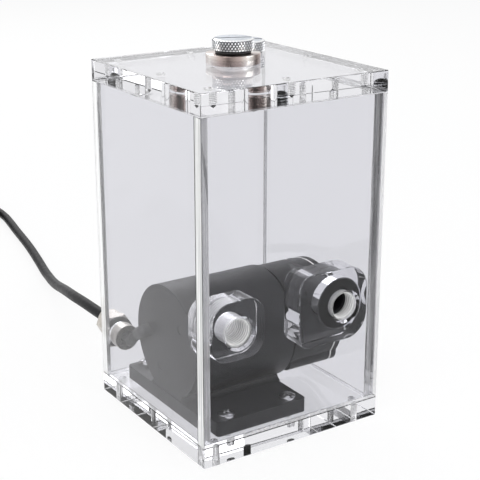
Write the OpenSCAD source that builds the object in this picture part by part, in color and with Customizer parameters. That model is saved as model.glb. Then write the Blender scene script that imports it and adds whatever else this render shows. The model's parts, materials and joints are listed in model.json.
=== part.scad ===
// Coolant pump reservoir: a clear square tank with a small pump standing inside it.
// Millimetres. Origin at the centre of the tank's underside, +X along the port face to the
// right, +Y towards the back, +Z up. The port face looks along -Y.

/* [Tank] */
// Outside width and depth of the square tank
tank_w = 93; // [93:0.5:110]
// Overall height of the tank, without the plugs
tank_h = 161; // [140:1:220]
// Thickness of the four upright panels
wall_t = 5; // [4.5:0.25:6]
// Thickness of the lid plate and of the bottom plate
plate_t = 9.5; // [9:0.25:12]
// Bevel on the outer edges of the two plates
edge_bevel = 0.6; // [0.3:0.1:1]

/* [Ports] */
// Diameter of the ports' tapped holes, at the roots of the thread
port_d = 13.16; // [12.6:0.02:13.6]
// Diameter of the countersunk mouth of a port
port_mouth_d = 15.4; // [15:0.1:16.5]
// Height of both ports above the underside
port_z = 58; // [57:0.5:60]
// Place of the return port along the port face
inlet_x = -28.5; // [-28.6:0.1:-27]
// Place of the pump's outlet port along the port face
outlet_x = 27.2; // [26:0.1:27.4]
// Thickness of the port blocks behind the panel
block_t = 12; // [11:0.25:12.5]
// Width of the return port's block
inlet_block_w = 26.6; // [25:0.2:27.4]
// Height of the return port's block
inlet_block_h = 27; // [24:0.5:30]
// Width of the outlet port's block
outlet_block_w = 37; // [34:0.5:37]
// Height of the outlet port's block
outlet_block_h = 34; // [31:0.5:36]
// Corner radius of the return port's block
inlet_block_r = 8.5; // [5:0.5:10]
// How far the return block's centre lies right of its port
inlet_block_shift = 1.2; // [1:0.1:2]
// Corner radius of the outlet port's block, on the side by the tank's middle
outlet_block_r = 6; // [4:0.5:9]
// Corner radius of the outlet port's block, on the side by the tank's wall
outlet_block_wall_r = 11; // [8:0.5:13]
// How far the outlet block's centre lies left of its port
outlet_block_shift = 4.5; // [4.3:0.1:5]

/* [Lid] */
// Place of the fill port, left to right
fill_x = 1; // [-3:0.5:3]
// Place of the fill port, front to back
fill_y = 4; // [0:0.5:6]
// Distance from the fill port to the vent port, both ways
vent_step = 17.5; // [17.5:0.25:19]
// Flange diameter of the fill collar
collar_d = 24; // [22:0.5:24.5]
// Flange height of the fill collar
collar_h = 4.5; // [4:0.1:6]
// Outer thread of the fill collar
collar_thread_d = 16.66; // [16.4:0.02:17.5]
// Head diameter of the plugs
plug_d = 18.5; // [17:0.5:20]
// Head height of the plugs
plug_h = 5; // [4:0.25:6]
// Length of a plug's threaded shank, below its head
plug_shank = 6.4; // [6:0.1:7]
// Thread pitch of the plugs, 19 threads to the inch
thread_pitch = 1.337; // [1:0.001:1.5]
// Teeth around a plug's knurl
knurl_teeth = 44; // [30:2:56]
// Depth of a plug's knurl
knurl_depth = 0.45; // [0.3:0.05:0.6]
// Width of the coin slot across a plug
slot_w = 1.8; // [1.4:0.1:2.4]
// Depth of the coin slot
slot_depth = 1.3; // [1:0.1:1.8]

/* [Mounting holes] */
// Tapping diameter of the blind mounting holes
mount_hole_d = 3.4; // [3:0.1:4.2]
// Depth of the blind mounting holes, without their cone
mount_hole_depth = 6.5; // [5:0.25:7]
// Distance from the tank's side to a mounting hole's centre
mount_hole_inset = 9; // [7:0.5:10]

/* [Pump] */
// Diameter of the motor housing
motor_d = 52; // [50:0.5:53]
// Length of the motor housing
motor_l = 47; // [46.5:0.25:47.5]
// Left end of the motor housing
motor_x = -35.5; // [-35.8:0.1:-35]
// Place of the pump, front to back
pump_y = -2; // [-3:0.25:0]
// Height of the shaft above the tank's floor
shaft_h = 31.5; // [31:0.25:34]
// Wall of the motor housing
motor_wall = 2.5; // [2:0.25:3]
// Thickness of the pump's foot
foot_t = 6.5; // [5.5:0.25:8]
// Length of the foot, along the shaft
foot_l = 46.5; // [44:0.5:48]
// How far the foot's middle lies left of the housing's
foot_shift = 0.75; // [0:0.25:1]
// Depth of the foot, front to back
foot_w = 73; // [72:0.5:78]
// Width of the saddle where it meets the foot
saddle_w = 25; // [20:1:32]
// Radius of the fillet between saddle and foot
saddle_fillet = 3; // [2:0.5:4]
// Spacing of the foot screws along the shaft
foot_screw_dx = 32; // [28:1:34]
// Spacing of the foot screws, front to back
foot_screw_dy = 64; // [62:1:65]
// Diameter of the pump head
head_d = 49.6; // [48:0.2:51]
// Length of the pump head
head_l = 22.5; // [22:0.25:23]
// Gap between motor housing and pump head, filled by the can's flange
neck_l = 2; // [1.5:0.25:2.25]
// Distance of the head's screw bosses from the shaft
boss_pitch_r = 21.6; // [21:0.2:23]
// Radius of a screw boss
boss_r = 5; // [4.2:0.2:5.4]
// Thickness of the gasket under the front cover
gasket_t = 0.7; // [0.5:0.1:0.9]
// Thickness of the front cover
cover_t = 2.8; // [2.6:0.1:3]
// Radius of the suction eye
eye_r = 6.8; // [6:0.2:7.2]
// Diameter of the outlet spigot
spigot_d = 24; // [22:0.25:24]
// Diameter of the outlet passage
outlet_bore_d = 10; // [8:0.5:10.5]
// Outer diameter of the outlet neck on the head
outlet_neck_d = 16; // [15:0.5:17]

/* [Rotor] */
// Diameter of the rotor magnet
magnet_d = 20; // [18:0.25:20.5]
// Length of the rotor magnet
magnet_l = 24; // [20:0.5:26]
// Gap between the rotor magnet and its can
rotor_gap = 0.6; // [0.4:0.05:0.8]
// Wall of the isolation can
can_wall = 0.8; // [0.6:0.05:1]
// Diameter of the ceramic shaft
shaft_d = 3; // [2.5:0.1:3.5]
// Diameter of the impeller
impeller_d = 28; // [26:0.5:29]
// Number of impeller vanes
vanes = 6; // [4:1:8]
// Number of stator teeth
stator_teeth = 6; // [6:3:9]

/* [Gland and cable] */
// Distance of the gland from the tank's left side
gland_inset = 11.3; // [11.2:0.1:12]
// Height of the gland above the underside
gland_z = 29; // [28:0.25:30]
// Thread diameter of the gland
gland_thread_d = 12.2; // [11.6:0.1:12.4]
// Width across the flats of the gland's hexagon
gland_flats = 15; // [14:0.5:16]
// How far the gland's thread reaches into the tank
gland_reach = 5.5; // [4:0.25:6]
// Diameter of the outside cable
cable_d = 5.5; // [5:0.1:5.6]
// Diameter of the lead inside the tank
lead_d = 5.2; // [4.8:0.1:5.2]
// Radius of the stored coil's outer turns
coil_r = 33.5; // [32:0.5:34]

/* [Fits] */
// Radial clearance of a thread or a pin in its hole
fit_gap = 0.05; // [0.03:0.01:0.1]
// Radial clearance of the glands' and spigot's seals
seal_gap = 0.1; // [0.05:0.05:0.2]
// Thickness of a plug's sealing ring
ring_t = 1.3; // [1:0.1:1.6]

/* [Hidden] */
$fn = 64;
eps = 0.01;

// Tank
half_w = tank_w / 2;
inner = half_w - wall_t;
lid_z = tank_h - plate_t;
port_r = port_d / 2;
mouth_r = port_mouth_d / 2;
panel_back_y = -inner;
block_back_y = panel_back_y + block_t;

// Lid
vent_x = fill_x + vent_step;
vent_y = fill_y + vent_step;
ring_gap = ring_t + 2 * fit_gap;
mount_step = tank_w - 2 * mount_hole_inset;

// Pump, along the shaft
shaft_z = plate_t + shaft_h;
motor_end = motor_x + motor_l;
head_x = motor_end + neck_l;
head_end = head_x + head_l;
cover_x = head_end + gasket_t;
cover_end = cover_x + cover_t;
foot_x = motor_x + motor_l / 2 - foot_shift;
foot_z = plate_t + foot_t;
cap_t = 3;
cap_r = motor_d / 2 - motor_wall;
can_in_r = magnet_d / 2 + rotor_gap;
can_r = can_in_r + can_wall;
can_flange_r = head_d / 2 - 2.6;
can_end = motor_x + 9.5;
thrust_l = 2.4;
rotor_x = can_end + can_wall + thrust_l + 0.3;
magnet_x = rotor_x + 0.5;
chamber_x = head_x + 8;
chamber_r = impeller_d / 2 + 1.5;
volute_growth = 3.8;
wheel_x = chamber_x + 0.8;
wheel_l = 10;
shroud_t = 1.3;
shaft_r = shaft_d / 2;
hub_r = shaft_r + 1.6;
stem_r = 6;

// Outlet spigot, along -Y
spigot_front_y = panel_back_y + 3.5;
spigot_back_y = block_back_y + 0.2;
neck_front_y = spigot_back_y + 1;
tail_l = 6;
outlet_r = outlet_bore_d / 2;

// Screws: pan heads in the foot, flush heads in the cover
foot_screw_r = 2;
foot_screw_head_r = 3.8;
foot_screw_head_h = 2.4;
foot_screw_l = foot_t + 6;
cover_screw_r = 1.5;
cover_screw_head_r = 2.7;
cover_screw_head_h = 1.6;
cover_screw_l = 12;
screw_recess = 1;

// Gland and lead
gland_x = -half_w + gland_inset;
washer_t = 0.9;
gland_hex_l = 4.5;
gland_neck_l = 6;
cap_l = 12;
gland_hex_y = half_w + washer_t;
gland_neck_y = gland_hex_y + gland_hex_l;
gland_cap_y = gland_neck_y + 0.4;
gland_exit_y = gland_cap_y + cap_l;
boot_y = pump_y + 16;
boot_r = lead_d / 2 + 0.35;
boot_x = (motor_x - inner) / 2;
boot_hole_r = 3.4;
boot_tilt = 32;
boot_l = 5;

// The lead inside the tank, from the boot to the gland
lead_end_y = gland_exit_y - 2.3;
lead_route = [
    [boot_x, boot_y + 3, shaft_z - 1.9], [boot_x, boot_y + 5.5, shaft_z - 3.4],
    [boot_x + 0.1, boot_y + 8, shaft_z - 5.2], [boot_x + 0.4, boot_y + 10.5, gland_z + 4.8],
    [boot_x + 0.9, boot_y + 13, gland_z + 2.8], [gland_x - 1.5, 29.5, gland_z + 1.3],
    [gland_x - 0.5, 32.5, gland_z + 0.3], [gland_x, 35.5, gland_z],
    [gland_x, 50, gland_z], [gland_x, lead_end_y, gland_z]
];
// The outside cable, from the gland down to the floor and on to the coil
cable_route = [
    [gland_x, lead_end_y, gland_z], [gland_x, 68, gland_z], [gland_x, 76, gland_z - 0.1],
    [gland_x + 0.5, 86, gland_z - 0.6], [gland_x + 1.6, 97, gland_z - 1.8],
    [-31.5, 110, 25], [-28, 124, 21.8], [-24, 138, 18], [-20, 152, 14], [-16, 166, 10.2],
    [-12, 180, 7], [-8, 194, 4.6], [-4.5, 208, 3.2], [-1, 222, 2.8], [2.2, 236, 2.8],
    [5.3, 250, 2.8], [8.1, 264, 2.8], [10.8, 279, 2.8], [13.4, 294, 2.8], [16.4, 310, 2.8],
    [18.9, 325, 2.8], [20, 338.4, 2.8]
];
coil_centre = [-13.5, 358];
coil_turns_wide = 2;
coil_turns_high = 2;
// The last stretch, from the top of the coil down to the plug
tail_route = [
    [-47, 338.2, 7.5], [-47, 331, 6.1], [-47, 324, 4.4], [-47, 317.5, 3.1], [-47, 313, 2.8],
    [-47, 310, 2.8]
];
plug_l = 18;
plug_w = 10.6;
plug_t = 5.6;

// ---------------------------------------------------------------- helpers

// A square-cornered plan with four equal corner radii
module rounded_plan(w, d, r) {
    square([w - 2 * r, d], center = true);
    square([w, d - 2 * r], center = true);
    for (sx = [-1, 1], sy = [-1, 1])
        translate([sx * (w / 2 - r), sy * (d / 2 - r)]) circle(r);
}

// A plan whose left corners and right corners have radii of their own
module two_radius_plan(w, d, left_r, right_r) {
    translate([left_r - w / 2, -d / 2]) square([w - left_r - right_r, d]);
    translate([-w / 2, left_r - d / 2]) square([w / 2, d - 2 * left_r]);
    translate([0, right_r - d / 2]) square([w / 2, d - 2 * right_r]);
    for (s = [-1, 1]) {
        translate([left_r - w / 2, s * (d / 2 - left_r)]) circle(left_r);
        translate([w / 2 - right_r, s * (d / 2 - right_r)]) circle(right_r);
    }
}

// A plan with bevelled corners
function bevelled(w, d, c) = [
    [-w / 2 + c, -d / 2], [w / 2 - c, -d / 2], [w / 2, -d / 2 + c], [w / 2, d / 2 - c],
    [w / 2 - c, d / 2], [-w / 2 + c, d / 2], [-w / 2, d / 2 - c], [-w / 2, -d / 2 + c]
];

// Lays a plan drawn in (Y, Z) out along +X from x
module along_x(x) {
    translate([x, 0, 0]) rotate([90, 0, 90]) children();
}

// Lays a plan drawn in (X, Z) out along -Y from y
module toward_front(y) {
    translate([0, y, 0]) rotate([90, 0, 0]) children();
}

// Centres a (Y, Z) plan on the shaft
module on_shaft(x) {
    along_x(x) translate([pump_y, shaft_z, 0]) children();
}

// A disc or a plain cylinder about the shaft
module shaft_disc(x, l, r) {
    on_shaft(x) cylinder(r = r, h = l);
}

// A slab whose four long edges and four corners are all bevelled
module bevelled_slab(w, h, c) {
    intersection() {
        linear_extrude(h) polygon(bevelled(w, w, c));
        translate([0, 0, h / 2]) along_x(-w / 2) linear_extrude(w) polygon(bevelled(w, h, c));
        translate([0, 0, h / 2]) toward_front(w / 2) linear_extrude(w) polygon(bevelled(w, h, c));
    }
}

// A drilled blind hole with the cone that the drill leaves, downwards from z = 0
module blind_hole(r, depth) {
    translate([0, 0, -depth]) cylinder(r = r, h = depth + 1);
    translate([0, 0, -depth - r * 0.58]) cylinder(r1 = 0, r2 = r, h = r * 0.58 + eps);
}

// The eight mounting holes of a plate: four corners and four mid-sides
module mount_holes(mid_sides) {
    for (sx = [-1, 0, 1], sy = [-1, 0, 1]) {
        corner = abs(sx) + abs(sy) == 2;
        mid = abs(sx) + abs(sy) == 1;
        if (corner || (mid && mid_sides))
            translate([sx * mount_step / 2, sy * mount_step / 2, 0]) children();
    }
}

// The places of the foot screws
module foot_screw_places() {
    for (sx = [-1, 1], sy = [-1, 1])
        translate([foot_x + sx * foot_screw_dx / 2, pump_y + sy * foot_screw_dy / 2, 0]) children();
}

// The places of the head's four bosses, in the (Y, Z) plan about the shaft
module boss_places() {
    for (a = [45, 135, 225, 315])
        rotate(a) translate([boss_pitch_r, 0, 0]) children();
}

// A port's hole through the panel, countersunk on the outside
module port_hole(x) {
    toward_front(panel_back_y + eps) translate([x, port_z, 0]) {
        cylinder(r = port_r, h = wall_t + 1);
        translate([0, 0, wall_t + eps - (mouth_r - port_r)])
            cylinder(r1 = port_r, r2 = mouth_r, h = mouth_r - port_r);
    }
}

// A round tube swept along the points of a route
function unit(v) = v / norm(v);
function heading(p, i) = unit(p[min(i + 1, len(p) - 1)] - p[max(i - 1, 0)]);
function side_of(t) = unit(cross(t, [0, 0, 1]));
function ring_points(p, i, r, n) = [
    for (k = [0 : n - 1])
        let (t = heading(p, i), s = side_of(t), u = cross(s, t), a = 360 * k / n)
            p[i] + r * (cos(a) * s + sin(a) * u)
];
module swept_tube(route, r, n) {
    rings = len(route);
    points = [for (i = [0 : rings - 1]) each ring_points(route, i, r, n)];
    sides = [
        for (i = [0 : rings - 2], k = [0 : n - 1])
            [i * n + k, i * n + (k + 1) % n, (i + 1) * n + (k + 1) % n, (i + 1) * n + k]
    ];
    first = [for (k = [n - 1 : -1 : 0]) k];
    last = [for (k = [0 : n - 1]) (rings - 1) * n + k];
    polyhedron(points = points, faces = concat([first], sides, [last]), convexity = 8);
}

// ---------------------------------------------------------------- tank

module bottom_plate() {
    color([0.86, 0.88, 0.9, 0.35]) difference() {
        bevelled_slab(tank_w, plate_t, edge_bevel);
        translate([0, 0, plate_t]) foot_screw_places()
            blind_hole(foot_screw_r, foot_screw_l - foot_t + 0.4);
        mirror([0, 0, 1]) mount_holes(false) blind_hole(mount_hole_d / 2, mount_hole_depth);
    }
}

module wall(w) {
    translate([-w / 2, 0, plate_t]) cube([w, wall_t, lid_z - plate_t]);
}

module front_panel() {
    color([0.86, 0.88, 0.9, 0.35]) difference() {
        translate([0, -half_w, 0]) wall(tank_w);
        port_hole(inlet_x);
        port_hole(outlet_x);
    }
}

module back_panel() {
    color([0.86, 0.88, 0.9, 0.35]) difference() {
        translate([0, inner, 0]) wall(tank_w);
        toward_front(half_w + 1) translate([gland_x, gland_z, 0])
            cylinder(r = gland_thread_d / 2 + fit_gap, h = wall_t + 2);
    }
}

module left_panel() {
    color([0.86, 0.88, 0.9, 0.35]) translate([-inner, 0, 0]) rotate(90) wall(2 * inner);
}

module right_panel() {
    color([0.86, 0.88, 0.9, 0.35]) translate([half_w, 0, 0]) rotate(90) wall(2 * inner);
}

module lid_plate() {
    color([0.86, 0.88, 0.9, 0.35]) difference() {
        translate([0, 0, lid_z]) bevelled_slab(tank_w, plate_t, edge_bevel);
        translate([fill_x, fill_y, lid_z - 1])
            cylinder(r = collar_thread_d / 2 + fit_gap, h = plate_t + 2);
        translate([vent_x, vent_y, lid_z - 1]) cylinder(r = port_r, h = plate_t + 2);
        translate([0, 0, tank_h]) mount_holes(true) blind_hole(mount_hole_d / 2, mount_hole_depth);
    }
}

// The return port's block: a rounded block glued behind the panel and tapped right through
module inlet_block() {
    color([0.9, 0.92, 0.93, 0.45]) toward_front(block_back_y) translate([inlet_x, port_z, 0])
        difference() {
            translate([inlet_block_shift, 0, 0])
                linear_extrude(block_t) rounded_plan(inlet_block_w, inlet_block_h, inlet_block_r);
            translate([0, 0, -1]) cylinder(r = port_r, h = block_t + 2);
        }
}

// The outlet port's block, counterbored from behind for the pump's spigot
module outlet_block() {
    color([0.9, 0.92, 0.93, 0.45]) toward_front(block_back_y) translate([outlet_x, port_z, 0])
        difference() {
            translate([-outlet_block_shift, 0, 0])
                linear_extrude(block_t) two_radius_plan(
                    outlet_block_w, outlet_block_h, outlet_block_r, outlet_block_wall_r
                );
            translate([0, 0, -1]) cylinder(r = port_r, h = block_t + 2);
            translate([0, 0, -1])
                cylinder(r = spigot_d / 2 + seal_gap, h = block_back_y - spigot_front_y + 1);
        }
}

// ---------------------------------------------------------------- lid fittings

// A reducing bush with a wide flange: outer thread in the lid, inner thread for the plug
module fill_collar() {
    r = collar_d / 2;
    c = 0.5;
    groove_r = collar_thread_d / 2 + 0.8;
    color([0.78, 0.72, 0.68]) translate([fill_x, fill_y, tank_h]) rotate_extrude() polygon([
        [port_r, -plate_t + 0.5], [collar_thread_d / 2 - 0.6, -plate_t + 0.5],
        [collar_thread_d / 2, -plate_t + 1.1], [collar_thread_d / 2, 0], [groove_r, 0],
        [groove_r, ring_t - 0.1], [groove_r + ring_t + 0.1, ring_t - 0.1], [groove_r + ring_t + 0.1, 0],
        [r - c, 0], [r, c], [r, collar_h - c], [r - c, collar_h],
        [port_r + 0.6, collar_h], [port_r, collar_h - 0.6]
    ]);
}

// Sealing ring in the groove under the collar
module collar_seal() {
    color([0.06, 0.06, 0.06])
        translate([fill_x, fill_y, tank_h + (ring_t - 0.1) / 2])
            rotate_extrude() translate([collar_thread_d / 2 + 0.85 + ring_t / 2, 0])
                circle((ring_t - 0.1) / 2);
}

// The knurled outline of a plug's head
function knurl(r, teeth, depth) = [
    for (i = [0 : 2 * teeth - 1])
        let (a = 180 * i / teeth, q = i % 2 == 0 ? r : r - depth) [q * cos(a), q * sin(a)]
];

// A coin-slotted plug: two knurled bands with a groove between them, and a bevelled crown.
// z = 0 is the face that it closes on.
module plug() {
    r = plug_d / 2;
    root_r = r - knurl_depth;
    crown_h = slot_depth + 0.2;
    groove_h = 0.5;
    band_h = (plug_h - crown_h - groove_h) / 2;
    shank_r = port_r - fit_gap;
    tip = 0.7;
    color([0.8, 0.8, 0.82]) difference() {
        union() {
            for (z = [0, band_h + groove_h])
                translate([0, 0, ring_gap + z])
                    linear_extrude(band_h) polygon(knurl(r, knurl_teeth, knurl_depth));
            translate([0, 0, ring_gap]) cylinder(r = root_r - 0.1, h = plug_h - crown_h);
            translate([0, 0, ring_gap + plug_h - crown_h])
                cylinder(r1 = root_r - 0.1, r2 = root_r - 0.9, h = crown_h);
            translate([0, 0, ring_gap - plug_shank]) cylinder(r1 = shank_r - tip, r2 = shank_r, h = tip);
            translate([0, 0, ring_gap - plug_shank + tip]) cylinder(r = shank_r, h = plug_shank - tip + eps);
        }
        translate([-r, -slot_w / 2, ring_gap + plug_h - slot_depth])
            cube([2 * r, slot_w, slot_depth + 1]);
        translate([0, 0, ring_gap - plug_shank - 1]) cylinder(r = shank_r - 2, h = plug_shank);
    }
}

module plug_seal() {
    color([0.05, 0.05, 0.05]) translate([0, 0, ring_gap / 2])
        rotate_extrude() translate([port_r + 0.1 + ring_t / 2, 0]) circle(ring_t / 2);
}

module fill_plug() {
    translate([fill_x, fill_y, tank_h + collar_h]) plug();
}

module fill_plug_seal() {
    translate([fill_x, fill_y, tank_h + collar_h]) plug_seal();
}

module vent_plug() {
    translate([vent_x, vent_y, tank_h]) plug();
}

module vent_plug_seal() {
    translate([vent_x, vent_y, tank_h]) plug_seal();
}

// ---------------------------------------------------------------- motor

// The (Y, Z) outline of the saddle below the housing, with a fillet at the foot
module saddle_plan() {
    w = saddle_w / 2;
    f = saddle_fillet;
    top = shaft_h - foot_t;
    translate([-w, -top]) square([2 * w, top]);
    for (s = [-1, 1]) difference() {
        translate([s > 0 ? w - eps : -w - f, -top - eps]) square([f + eps, f + eps]);
        translate([s * (w + f), -top + f]) circle(f);
    }
}

// Round housing, saddle and screwed foot in one moulding, open at its left end
module motor_housing() {
    color([0.2, 0.2, 0.21]) difference() {
        union() {
            shaft_disc(motor_x, motor_l, motor_d / 2);
            on_shaft(motor_x) linear_extrude(motor_l) saddle_plan();
            translate([foot_x, pump_y, plate_t])
                linear_extrude(foot_t) rounded_plan(foot_l, foot_w, 1.5);
        }
        shaft_disc(motor_x - 1, motor_l - motor_wall + 1, cap_r);
        shaft_disc(motor_x, motor_l + 1, can_r + fit_gap);
        foot_screw_places() translate([0, 0, plate_t - 1])
            cylinder(r = foot_screw_r + 0.25, h = foot_t + 2);
    }
}

// Flush end cap with the hole for the lead's boot and two shallow moulding marks
module end_cap() {
    color([0.24, 0.24, 0.25]) difference() {
        shaft_disc(motor_x, cap_t, cap_r - fit_gap);
        along_x(motor_x - 1) translate([boot_y, shaft_z, 0]) cylinder(r = boot_hole_r, h = cap_t + 2);
        on_shaft(motor_x - 1) for (a = [142, 292])
            rotate(a) translate([15.5, 0, 0]) cylinder(r = 2.2, h = 1.3);
    }
}

// Pan-head screws through the foot into the bottom plate
module foot_screws() {
    color([0.72, 0.72, 0.74]) foot_screw_places() difference() {
        union() {
            translate([0, 0, foot_z - foot_screw_l])
                cylinder(r = foot_screw_r - fit_gap, h = foot_screw_l + eps);
            translate([0, 0, foot_z]) intersection() {
                cylinder(r = foot_screw_head_r, h = foot_screw_head_h);
                translate([0, 0, foot_screw_head_h - 7]) sphere(7, $fn = 48);
            }
        }
        translate([0, 0, foot_z + foot_screw_head_h - screw_recess / 2 + 0.5]) for (a = [0, 90])
            rotate(a + 20) cube([4, 0.9, screw_recess + 1], center = true);
    }
}

stator_r = cap_r - 0.2;
stator_in_r = can_r + 0.3;
stator_x = magnet_x + 1;
stator_l = magnet_l - 2;
tooth_w = 5.2;
yoke_t = 3;

// Laminated ring with inward teeth and pole shoes
module stator_core() {
    color([0.5, 0.5, 0.52]) on_shaft(stator_x) linear_extrude(stator_l) difference() {
        circle(stator_r);
        difference() {
            circle(stator_r - yoke_t);
            for (i = [0 : stator_teeth - 1]) rotate(360 * i / stator_teeth) {
                translate([stator_in_r, -tooth_w / 2]) square([stator_r - stator_in_r, tooth_w]);
                intersection() {
                    circle(stator_in_r + 1.6);
                    polygon([[0, 0], [30, -11.5], [30, 11.5]]);
                }
            }
        }
        circle(stator_in_r);
    }
}

// One wound coil around each tooth
module stator_coils() {
    t = 2;
    gap = 0.15;
    r0 = stator_in_r + 1.9;
    r1 = stator_r - yoke_t - 1.2;
    color([0.72, 0.4, 0.2]) on_shaft(stator_x) for (i = [0 : stator_teeth - 1])
        rotate(360 * i / stator_teeth) difference() {
            translate([r0, -tooth_w / 2 - t, -t - gap])
                cube([r1 - r0, tooth_w + 2 * t, stator_l + 2 * (t + gap)]);
            translate([r0 - 1, -tooth_w / 2 - gap, -gap])
                cube([r1 - r0 + 2, tooth_w + 2 * gap, stator_l + 2 * gap]);
        }
}

// Driver board behind the coils, with its parts on the cap side
module controller_board() {
    board_x = motor_x + cap_t + 2.2;
    color([0.1, 0.35, 0.2]) union() {
        shaft_disc(board_x, 1.6, cap_r - 0.2);
        on_shaft(board_x - 1.2) {
            translate([-9, 6, 0]) cube([6, 6, 1.3]);
            translate([-8, -12, 0]) cube([5, 4, 1.3]);
            translate([2, -15, 0]) cube([3, 6, 1.3]);
        }
    }
}

// Thin cup that keeps the coolant off the coils, flanged between housing and head
module isolation_can() {
    color([0.3, 0.3, 0.32]) on_shaft(can_end) difference() {
        union() {
            cylinder(r = can_r, h = motor_end - can_end + eps);
            translate([0, 0, motor_end - can_end]) cylinder(r = can_flange_r, h = neck_l);
        }
        translate([0, 0, can_wall]) difference() {
            cylinder(r = can_in_r, h = 60);
            cylinder(r = hub_r, h = thrust_l);
        }
        translate([0, 0, can_wall]) cylinder(r = shaft_r + fit_gap / 2, h = 60);
    }
}

// Fixed ceramic shaft
module pump_shaft() {
    color([0.93, 0.92, 0.9])
        shaft_disc(can_end + can_wall, cover_x + 1.5 - can_end - can_wall, shaft_r);
}

// Ring magnet moulded on the impeller's stem
module rotor_magnet() {
    color([0.25, 0.25, 0.27]) on_shaft(magnet_x) difference() {
        cylinder(r = magnet_d / 2, h = magnet_l);
        translate([0, 0, -1]) cylinder(r = stem_r + 0.03, h = magnet_l + 2);
    }
}

// ---------------------------------------------------------------- head

// One backward-curved vane, from the hub to the rim
module vane_plan() {
    bow = impeller_d * 0.42;
    intersection() {
        difference() {
            translate([bow * 0.62, -bow * 0.78]) circle(bow);
            translate([bow * 0.62 + 0.5, -bow * 0.78 - 1.1]) circle(bow);
        }
        difference() {
            circle(impeller_d / 2 - 0.2);
            circle(eye_r - 0.6);
        }
        translate([0, -impeller_d]) square([impeller_d, 2 * impeller_d]);
    }
}

// Closed impeller: back plate, curved vanes, front ring with the eye, and the long stem
module impeller() {
    r = impeller_d / 2;
    vane_h = wheel_l - 2 * shroud_t;
    color([0.16, 0.16, 0.17]) difference() {
        union() {
            shaft_disc(rotor_x, wheel_x - rotor_x + eps, stem_r);
            shaft_disc(wheel_x, shroud_t, r);
            shaft_disc(wheel_x, wheel_l - 1, hub_r);
            on_shaft(wheel_x + shroud_t - eps) linear_extrude(vane_h + 2 * eps)
                for (i = [0 : vanes - 1]) rotate(360 * i / vanes) vane_plan();
            on_shaft(wheel_x + wheel_l - shroud_t) difference() {
                cylinder(r = r, h = shroud_t);
                translate([0, 0, -1]) cylinder(r = eye_r, h = shroud_t + 2);
            }
        }
        shaft_disc(rotor_x - 1, 80, shaft_r + fit_gap);
    }
}

// The spiral of the pump chamber: its radius grows by volute_growth in one turn
function volute(r0, growth) = [
    for (a = [0 : 10 : 360]) let (q = r0 + growth * a / 360) [q * cos(a + 90), q * sin(a + 90)]
];

// Round head with four screw bosses, spiral chamber and the neck of the outlet
module pump_head() {
    color([0.17, 0.17, 0.18]) difference() {
        union() {
            on_shaft(head_x) linear_extrude(head_l) {
                circle(head_d / 2);
                boss_places() circle(boss_r);
            }
            toward_front(pump_y) translate([outlet_x, port_z, 0])
                cylinder(r = outlet_neck_d / 2, h = pump_y - neck_front_y);
        }
        on_shaft(chamber_x) linear_extrude(head_l) polygon(volute(chamber_r, volute_growth));
        shaft_disc(head_x - 1, head_l, stem_r + 1.5);
        toward_front(pump_y + 1) translate([outlet_x, port_z, 0])
            cylinder(r = outlet_r, h = pump_y - neck_front_y + 2);
        toward_front(neck_front_y + tail_l) translate([outlet_x, port_z, 0])
            cylinder(r = outlet_r + 1.5 + fit_gap, h = tail_l + 1);
        on_shaft(head_end - cover_screw_l + cover_t + gasket_t) boss_places()
            cylinder(r = cover_screw_r, h = cover_screw_l);
    }
}

// The outline shared by gasket and cover
module cover_plan() {
    circle(head_d / 2);
    boss_places() circle(boss_r);
}

module head_gasket() {
    color([0.9, 0.9, 0.88]) on_shaft(head_end) linear_extrude(gasket_t) difference() {
        cover_plan();
        circle(chamber_r + volute_growth);
        boss_places() circle(cover_screw_r + 0.2);
    }
}

// Cover with the suction eye, its snout and the three arms that hold the shaft's end
module front_cover() {
    snout_x = wheel_x + wheel_l + 0.5;
    color([0.17, 0.17, 0.18]) difference() {
        union() {
            on_shaft(cover_x) linear_extrude(cover_t) cover_plan();
            shaft_disc(snout_x, cover_x - snout_x + eps, eye_r + 1.5);
        }
        difference() {
            shaft_disc(snout_x - 1, 20, eye_r);
            on_shaft(cover_x) {
                cylinder(r = hub_r, h = cover_t);
                for (a = [90, 210, 330]) rotate(a)
                    translate([0, -0.9, 0]) cube([eye_r + 1, 1.8, cover_t]);
            }
        }
        shaft_disc(cover_x - 1, 2.5, shaft_r + fit_gap / 2);
        on_shaft(cover_x - 1) boss_places() {
            cylinder(r = cover_screw_r + 0.2, h = cover_t + 2);
            translate([0, 0, cover_t + 1 - cover_screw_head_h - 0.1])
                cylinder(r = cover_screw_head_r + 0.2, h = cover_screw_head_h + 1);
        }
    }
}

module cover_screws() {
    head_at = cover_end - cover_screw_head_h - 0.1;
    color([0.7, 0.7, 0.72]) on_shaft(head_at) boss_places() difference() {
        union() {
            cylinder(r = cover_screw_head_r, h = cover_screw_head_h);
            translate([0, 0, cover_t - cover_screw_l + 1.6])
                cylinder(r = cover_screw_r - fit_gap, h = cover_screw_l - cover_t - 1.6 + eps);
        }
        translate([0, 0, cover_screw_head_h - 0.9])
            cylinder(r = 1.4, h = 1, $fn = 6);
    }
}

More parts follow.
